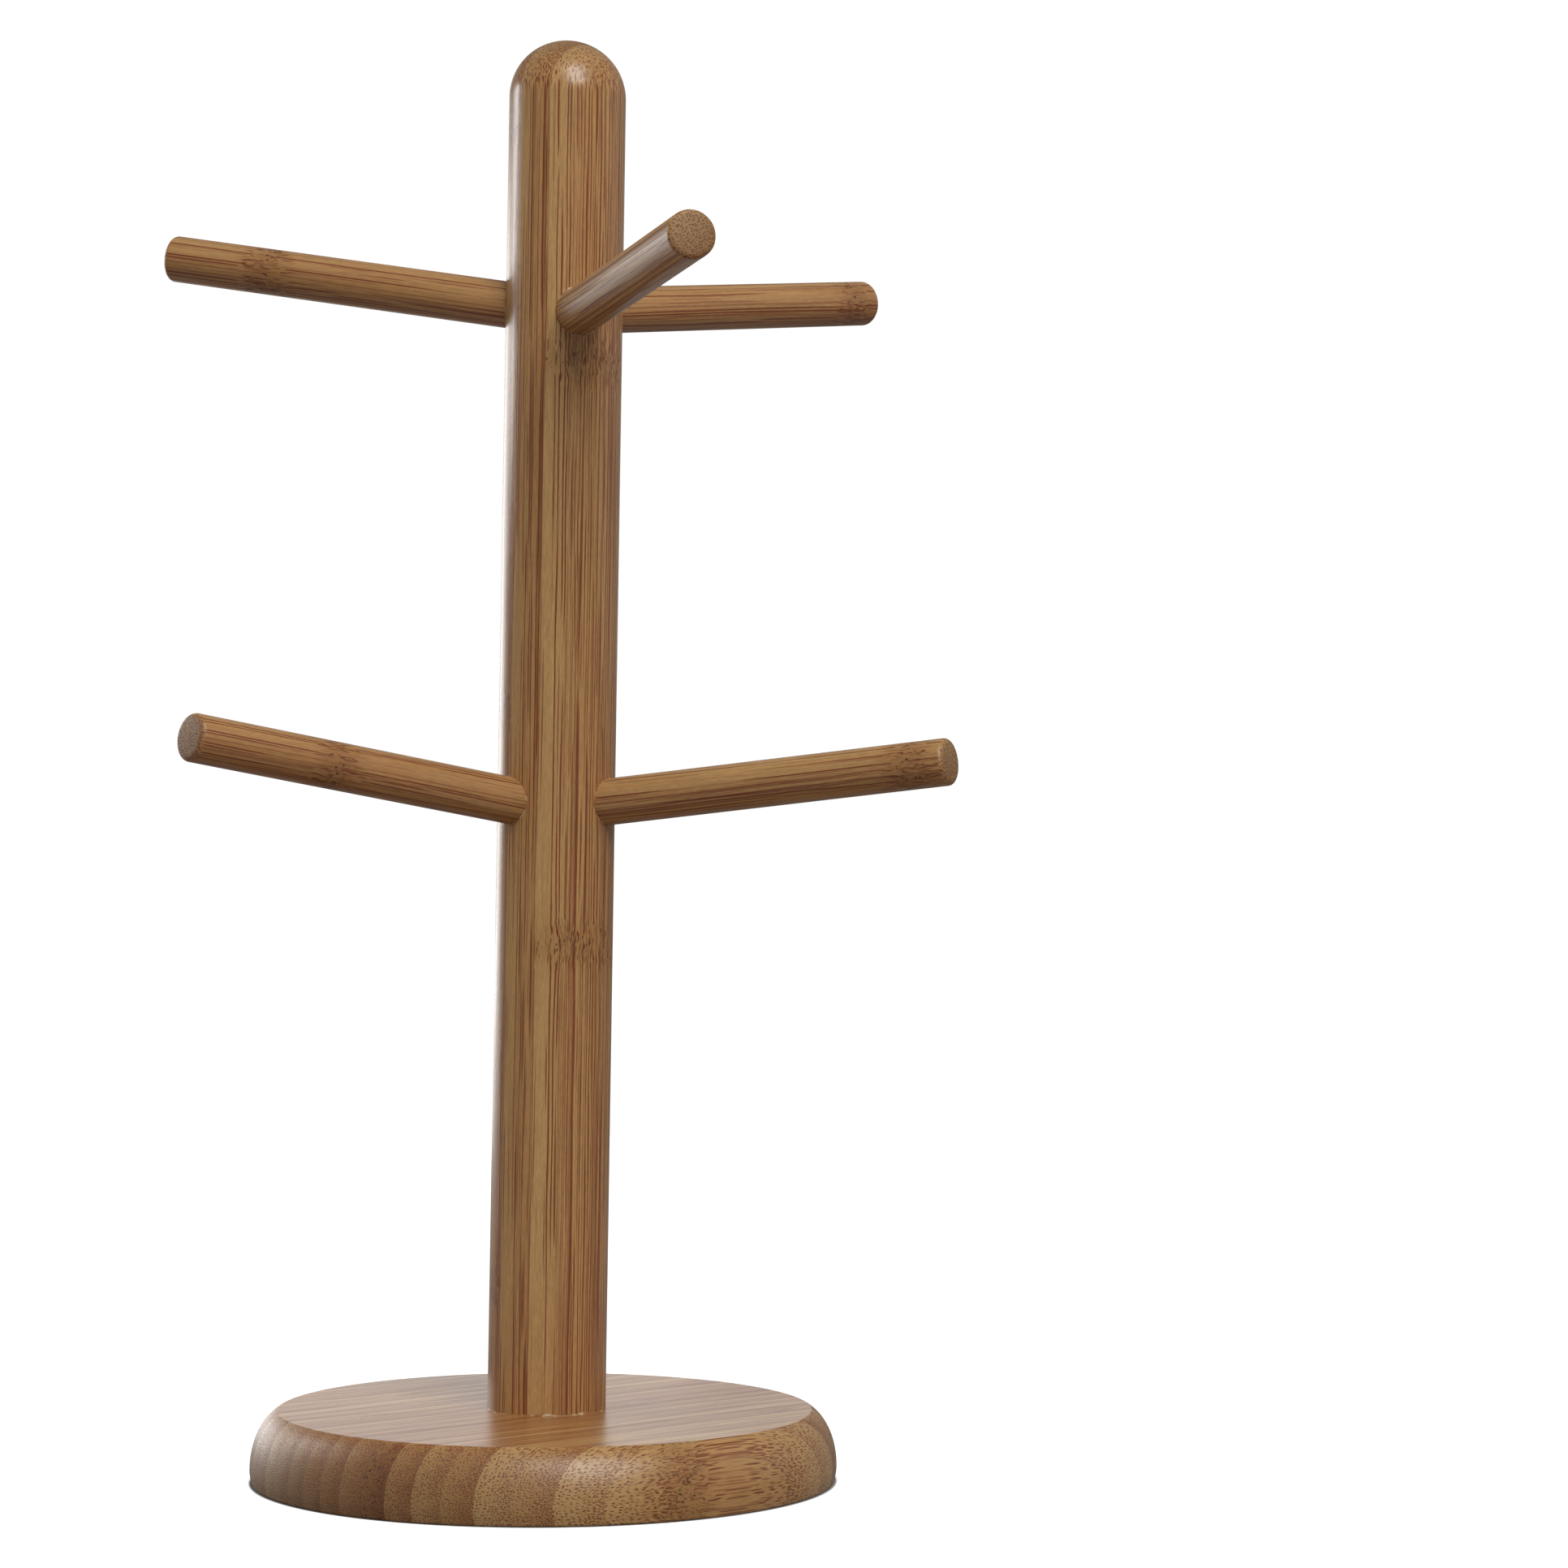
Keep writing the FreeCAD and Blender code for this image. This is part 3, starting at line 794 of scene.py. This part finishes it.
class MUGTREE_OT_pegs(bpy.types.Operator):
    """Make the six dowel pegs, each slightly out of round and of its own stock"""
    bl_idname = "mug_tree.pegs"
    bl_label = "Pegs"

    AROUND = 72
    SIDE_HEM = 0.3 * MM
    FACE_ROWS = 8
    INNERMOST = 0.12  # the face's last row, as a share of its radius

    def profile(self, sizes, radius, reach):
        """A peg's section as (radius, distance along its axis): chamfered tail, long side, rounded free end
        and the end's face, domed by a parabola."""
        face = radius - sizes.end_rounding
        start = reach - sizes.end_rounding - sizes.end_crown
        tail_edge = (radius, sizes.tail + sizes.tail_chamfer)
        rounding = arc((face, start), (sizes.end_rounding, sizes.end_rounding), 0.0, math.pi / 2, 8)
        across = np.linspace(face, face * self.INNERMOST, self.FACE_ROWS)
        crown = reach - sizes.end_crown * (across / face) ** 2
        return chained(run((radius - sizes.tail_chamfer, sizes.tail), tail_edge),
                       run(tail_edge, (radius, start), 40, self.SIDE_HEM),
                       rounding, np.column_stack((across, crown)))

    def execute(self, context):
        sizes, finish = context.scene.mug_tree_pegs, context.scene.mug_tree_finish
        for number, (node, stock) in enumerate(PEG_STOCK.items()):
            roll, glue_line, culm_node, tone, pore = stock
            line = peg_line(node)

            def swell(turn, distance):
                """Faint flats round the dowel that drift along it."""
                return hollows(PEG_WAVES, number, turn, distance) * sizes.unevenness / line.radius

            rows = carried(line, self.profile(sizes, line.radius, line.reach), self.AROUND, swell)
            turn = math.radians(roll)
            stack = line.side * math.cos(turn) + line.rise * math.sin(turn)
            axes = (stack, np.cross(line.along, stack), line.along)
            strips = [(tone + change, pore, 0.0, strength) for change, strength in PEG_STRIPS]
            bamboo = lacquered_bamboo(
                node + "_bamboo", finish, finish.peg_roughness, axes, line.root,
                (finish.peg_pitch, glue_line * MM), (PEG_FIRST_STRIP, strips), (culm_node * MM, PEG_NODE_STEP))
            poles = (line.root + line.along * sizes.tail, line.root + line.along * line.reach)
            piece(node.replace("_peg", "_dowel"), *skin(rows, poles), bamboo, slot="peg_bamboo", node=node)
        return {"FINISHED"}


class MUGTREE_OT_glue(bpy.types.Operator):
    """Lay the thin beads of dried glue and lacquer in the corners round the pegs and the post's foot"""
    bl_idname = "mug_tree.glue"
    bl_label = "Glue Beads"

    AROUND = 144
    CHIP_HEIGHT = 1.6  # share of the bead's size
    CHIP_WIDTH = 0.13  # radians round the corner
    FOOT_BEAD = 1.2  # share of the pegs' bead
    # Across the corner: how far out along each of its two faces, as shares of the bead's size.
    SECTION = np.array(((1.0, 0.0), (0.45, 0.12), (0.22, 0.22), (0.12, 0.45), (0.0, 1.0), (-0.35, 0.3),
                        (-0.4, -0.4), (0.3, -0.35)))

    def bead_size(self, turn, size, seed):
        """The bead's size round its corner: a mean with two waves, and two short swellings where it
        chipped."""
        waves = 1.0 + 0.35 * np.cos(5 * turn + seed) + 0.25 * np.cos(11 * turn + 2 * seed)
        chips = sum(self.CHIP_HEIGHT * np.exp(-(np.angle(np.exp(1j * (turn - spot))) / self.CHIP_WIDTH) ** 2)
                    for spot in (1.1 + seed, 3.9 + 1.7 * seed))
        return size * (0.45 + 0.4 * waves + chips)

    def bead(self, corner, first, second, size):
        """Rows round a corner line: corner + size (p first + q second) for each point p, q of the
        section."""
        out, up = self.SECTION[:, :1, None], self.SECTION[:, 1:, None]
        return corner + size[None, :, None] * (out * first + up * second)

    def execute(self, context):
        sizes, post = context.scene.mug_tree_pegs, context.scene.mug_tree_post
        board = context.scene.mug_tree_board
        turn = angles(self.AROUND)
        skins = []
        for number, line in enumerate(map(peg_line, PEG_STOCK)):
            along = line.along
            away = line.side * np.cos(turn)[:, None] + line.rise * np.sin(turn)[:, None]
            start = line.root + (line.radius - 0.5 * sizes.unevenness) * away
            level = np.clip((start[:, 2] - POST_LOW.z) / (POST_HIGH.z - POST_LOW.z), 0.0, 1.0)
            post_radius = post.foot_radius + (post.top_radius - post.foot_radius) * level
            post_radius = post_radius - 0.5 * post.unevenness
            # Distance along the peg at which its side leaves the post: the larger root of a quadratic.
            a = float(along[:2] @ along[:2])
            b = start[:, :2] @ along[:2]
            c = (start[:, :2] ** 2).sum(axis=1) - post_radius ** 2
            corner = start + ((-b + np.sqrt(b * b - a * c)) / a)[:, None] * along
            normal = np.column_stack((corner[:, :2], np.zeros(len(turn)))) / post_radius[:, None]
            outward = away - (away * normal).sum(axis=1)[:, None] * normal
            outward /= np.linalg.norm(outward, axis=1)[:, None]
            size = self.bead_size(turn, sizes.bead, 1.3 * number)
            skins.append(skin(self.bead(corner, outward, along[None, :], size), ring=True))
        ring = np.column_stack((np.cos(turn), np.sin(turn), np.zeros(len(turn))))
        foot = ring * (post.foot_radius - 0.5 * post.unevenness) + UP * board.thickness
        size = self.bead_size(turn, self.FOOT_BEAD * sizes.bead, 4.0)
        skins.append(skin(self.bead(foot, ring, UP[None, :], size), ring=True))
        glue = glue_material(context.scene.mug_tree_finish)
        piece("glue_beads", *gathered(*skins), glue, slot="peg_bamboo")
        return {"FINISHED"}


class MUGTREE_OT_screw(bpy.types.Operator):
    """Make the countersunk screw with its thread, its point and the cross recess in its head"""
    bl_idname = "mug_tree.screw"
    bl_label = "Post Screw"

    AROUND = 96
    ROWS_PER_TURN = 14
    RIDGE = 0.28  # half the ridge's width, as a share of the thread's pitch
    LEAD = 0.5 * MM  # length over which the shank draws in to the thread's root
    RECESS_ROWS = ((0.35, 1.0), (0.82, 0.9))  # shares of the cross's outline and of its depth
    LIP = 0.05 * MM  # depth of the recess's eased edge
    RIM_BREAK = (0.35 * MM, 0.12 * MM)  # inwards and down, round the head's face

    def recess(self, sizes):
        """Radius of the cross recess's outline at each angle: the farther edge of two crossed bars."""
        turn = angles(self.AROUND)
        half, blade = sizes.recess_width / 2, sizes.recess_blade / 2
        cosine, sine = np.abs(np.cos(turn)), np.abs(np.sin(turn))
        level = np.minimum(half / np.maximum(cosine, 1e-6), blade / np.maximum(sine, 1e-6))
        upright = np.minimum(half / np.maximum(sine, 1e-6), blade / np.maximum(cosine, 1e-6))
        return np.maximum(level, upright)

    def thread(self, sizes, height, turn):
        """Radius over the thread: the root plus a narrow ridge that climbs one pitch each turn, fading in at
        the shank and out towards the point."""
        start = SCREW_LOW.z + sizes.thread_start
        point = SCREW_HIGH.z - sizes.point_length
        ridge = np.mod((height - start) / sizes.thread_pitch - turn / (2 * np.pi), 1.0)
        ridge = np.clip(1.0 - np.abs(ridge - 0.5) / self.RIDGE, 0.0, 1.0)
        fade_in = np.clip((height - start) / sizes.thread_pitch, 0.0, 1.0)
        taper = np.clip((SCREW_HIGH.z - height) / sizes.point_length, 0.0, 1.0)
        core = sizes.root_radius * np.where(height > point, taper, 1.0)
        lead = np.clip((start - height) / self.LEAD + 1.0, 0.0, 1.0)
        lead = lead * (sizes.shank_radius - sizes.root_radius)
        return core + lead + ridge * fade_in * (sizes.thread_radius - sizes.root_radius) * np.sqrt(taper)

    def execute(self, context):
        sizes = context.scene.mug_tree_screw
        turn = angles(self.AROUND)
        outline = self.recess(sizes)
        face, start = SCREW_LOW.z, SCREW_LOW.z + sizes.thread_start
        cone_foot = face + sizes.head_rim
        cone_top = cone_foot + sizes.head_radius - sizes.shank_radius
        level = np.ones(self.AROUND)

        def ring(radius, height):
            return np.column_stack((radius * np.cos(turn), radius * np.sin(turn), height * level))

        inwards, down = self.RIM_BREAK
        plain = ((sizes.head_radius - inwards, face), (sizes.head_radius, face + down),
                 (sizes.head_radius, cone_foot), (sizes.shank_radius, cone_top),
                 (sizes.shank_radius, start - self.LEAD))
        steps = int((SCREW_HIGH.z - start) / (sizes.thread_pitch / self.ROWS_PER_TURN))
        heights = np.linspace(start, SCREW_HIGH.z, steps, endpoint=False)
        rows = np.stack([
            *(ring(outline * share, face + sizes.recess_depth * depth) for share, depth in self.RECESS_ROWS),
            ring(outline, face + self.LIP), ring(outline * 1.03, face),
            *(ring(level * radius, height) for radius, height in plain),
            *(ring(self.thread(sizes, height, turn), height) for height in heights)])
        poles = (UP * (face + sizes.recess_depth), UP * SCREW_HIGH.z)
        zinc = zinc_material(context.scene.mug_tree_finish)
        piece("countersunk_screw", *skin(rows, poles), zinc, slot="zinc_steel", node="post_screw")
        return {"FINISHED"}


# ---------------------------------------------------------------- stage

# Name; bearing from the camera's, towards the right, and rise above level, both in degrees and seen from half
# the post's height, at which each panel is aimed; its distance from there, its width and height in metres; and
# its brightness.
LIGHTS = (
    ("left_panel", -120.0, 16.9, 0.92, 0.26, 0.26, 8.3),
    ("front_softbox", 19.0, 46.0, 2.1, 1.10, 1.30, 7.0),
    ("backdrop_left", -146.0, 2.5, 2.2, 1.15, 0.62, 3.5),
    ("floor_glow", -152.0, -7.9, 0.90, 1.10, 0.09, 1.4),
    ("backdrop", -176.0, 7.0, 2.2, 1.15, 0.90, 0.68),
    ("right_fill", 95.0, 22.0, 2.0, 1.80, 1.40, 0.28),
)


class MUGTREE_OT_stage(bpy.types.Operator):
    """Set up the pale floor, the soft studio lights and the camera"""
    bl_idname = "mug_tree.stage"
    bl_label = "Stage"

    WHITE = (1.0, 1.0, 1.0, 1.0)
    FLOOR_COLOUR = (0.32, 0.32, 0.32, 1.0)
    FLOOR_GLOW = 0.95
    FLOOR_RINGS = (0.5, 64)  # radius of the inner ring, and points round it
    PAINTED_CONTACT_SHADOW = (-0.3 * MM, 0.5 * MM)  # painted contact shadow, from the board's rim: where the floor's glow starts and is full
    BACKDROP = 1.02
    SENSOR_WIDTH = 36.0
    SHIFT = (-0.25, 0.0042)

    def bearing(self, turn):
        """Level unit vector at a bearing from -Y towards +X."""
        return Vector((math.sin(turn), -math.cos(turn), 0.0))

    def floor(self, settings):
        """A flat disc that the camera sees as white, but for a thin line of painted contact shadow round the
        board's rim, where the glow is held back so the grey floor and its real shade from the board show."""
        material, graph = new_material("pale_floor")
        seen = graph.put("ShaderNodeLightPath").outputs["Is Camera Ray"]
        place = graph.put("ShaderNodeTexCoord").outputs["Object"]
        radius = graph.put("ShaderNodeVectorMath", {0: place}, operation="LENGTH").outputs["Value"]
        start, end = (BOARD_HIGH.x + reach for reach in self.PAINTED_CONTACT_SHADOW)
        # Painted contact shadow: the glow is held back in a thin ring at the board's rim, so the floor there
        # reads dark.
        glow = graph.times(seen, graph.smooth(radius, start, end, 0.0, self.FLOOR_GLOW))
        shader = graph.put("ShaderNodeBsdfPrincipled", {
            "Base Color": self.FLOOR_COLOUR, "Roughness": 0.9, "Specular IOR Level": 0.0,
            "Emission Color": self.WHITE, "Emission Strength": glow})
        graph.put("ShaderNodeOutputMaterial", {"Surface": shader.outputs[0]})
        inner, around = self.FLOOR_RINGS
        rows = revolved(np.array(((inner, 0.0), (settings.floor_radius, 0.0))), around)
        piece("floor", *skin(rows, (ORIGIN, None)), material)

    def world(self, settings):
        """A pale room; the background that the camera sees is plain white."""
        world = bpy.data.worlds.new("studio")
        world.use_nodes = True
        graph = Graph(world.node_tree)
        seen = graph.put("ShaderNodeLightPath").outputs["Is Camera Ray"]
        extra = graph.times(seen, self.BACKDROP - settings.surroundings)
        strength = graph.math("ADD", extra, settings.surroundings)
        background = graph.put("ShaderNodeBackground", {"Color": self.WHITE, "Strength": strength})
        graph.put("ShaderNodeOutputWorld", {"Surface": background.outputs[0]})
        bpy.context.scene.world = world

    def lights(self, settings):
        """Area lights that face the object; an area light's power is its brightness times pi times its
        area."""
        aim = Vector((0.0, 0.0, POST_HIGH.z / 2))
        for name, turn, rise, distance, width, height, brightness in LIGHTS:
            data = bpy.data.lights.new(name, "AREA")
            data.shape, data.size, data.size_y = "RECTANGLE", width, height
            data.energy = brightness * math.pi * width * height
            lamp = linked(name, data)
            rise = math.radians(rise)
            level = self.bearing(settings.camera_turn + math.radians(turn))
            way = level * math.cos(rise) + Vector(UP) * math.sin(rise)
            lamp.location = aim + way * distance
            lamp.rotation_euler = way.to_track_quat("Z", "Y").to_euler()
            lamp.visible_camera = False

    def camera(self, settings):
        """A long lens, about level with the lower pegs. Its axis points past the object's right, and the
        shift brings the frame part of the way back, so the object stands left of the middle."""
        data = bpy.data.cameras.new("camera")
        data.sensor_width, data.lens = self.SENSOR_WIDTH, settings.camera_lens
        data.shift_x, data.shift_y = self.SHIFT
        camera = linked("camera", data)
        level = self.bearing(settings.camera_turn)
        camera.location = level * settings.camera_distance + Vector(UP) * settings.camera_height
        tilt = math.pi / 2 - settings.camera_pitch
        heading = Matrix.Rotation(settings.camera_heading, 4, "Z") @ Matrix.Rotation(tilt, 4, "X")
        camera.rotation_euler = (heading @ Matrix.Rotation(settings.camera_roll, 4, "Z")).to_euler()
        bpy.context.scene.camera = camera

    def execute(self, context):
        settings = context.scene.mug_tree_stage
        self.floor(settings)
        self.world(settings)
        self.lights(settings)
        self.camera(settings)
        context.scene.view_settings.view_transform = "Standard"
        return {"FINISHED"}


PIECES = (MUGTREE_OT_board, MUGTREE_OT_post, MUGTREE_OT_pegs, MUGTREE_OT_glue, MUGTREE_OT_screw,
          MUGTREE_OT_stage)
SETTINGS = {
    "mug_tree_board": BoardSettings, "mug_tree_post": PostSettings, "mug_tree_pegs": PegSettings,
    "mug_tree_screw": ScrewSettings, "mug_tree_finish": FinishSettings, "mug_tree_stage": StageSettings,
}


class MUGTREE_PT_sidebar(bpy.types.Panel):
    """The mug tree's sizes, colours and pieces"""
    bl_label = "Mug Tree"
    bl_idname = "MUGTREE_PT_sidebar"
    bl_space_type = "VIEW_3D"
    bl_region_type = "UI"
    bl_category = "Mug Tree"

    def draw(self, context):
        for key, group in SETTINGS.items():
            box = self.layout.box()
            box.label(text=group.__doc__)
            for name in group.__annotations__:
                box.prop(getattr(context.scene, key), name)
        for operator in PIECES:
            self.layout.operator(operator.bl_idname)


CLASSES = (*SETTINGS.values(), *PIECES, MUGTREE_PT_sidebar)


def register():
    for made in CLASSES:
        bpy.utils.register_class(made)
    for key, group in SETTINGS.items():
        setattr(bpy.types.Scene, key, PointerProperty(type=group))


def unregister():
    for key in SETTINGS:
        delattr(bpy.types.Scene, key)
    for made in reversed(CLASSES):
        bpy.utils.unregister_class(made)


def main():
    """Register the operators, then build every piece and the stage in order."""
    register()
    bpy.ops.mug_tree.board()
    bpy.ops.mug_tree.post()
    bpy.ops.mug_tree.pegs()
    bpy.ops.mug_tree.glue()
    bpy.ops.mug_tree.screw()
    bpy.ops.mug_tree.stage()


if __name__ == "__main__":
    main()
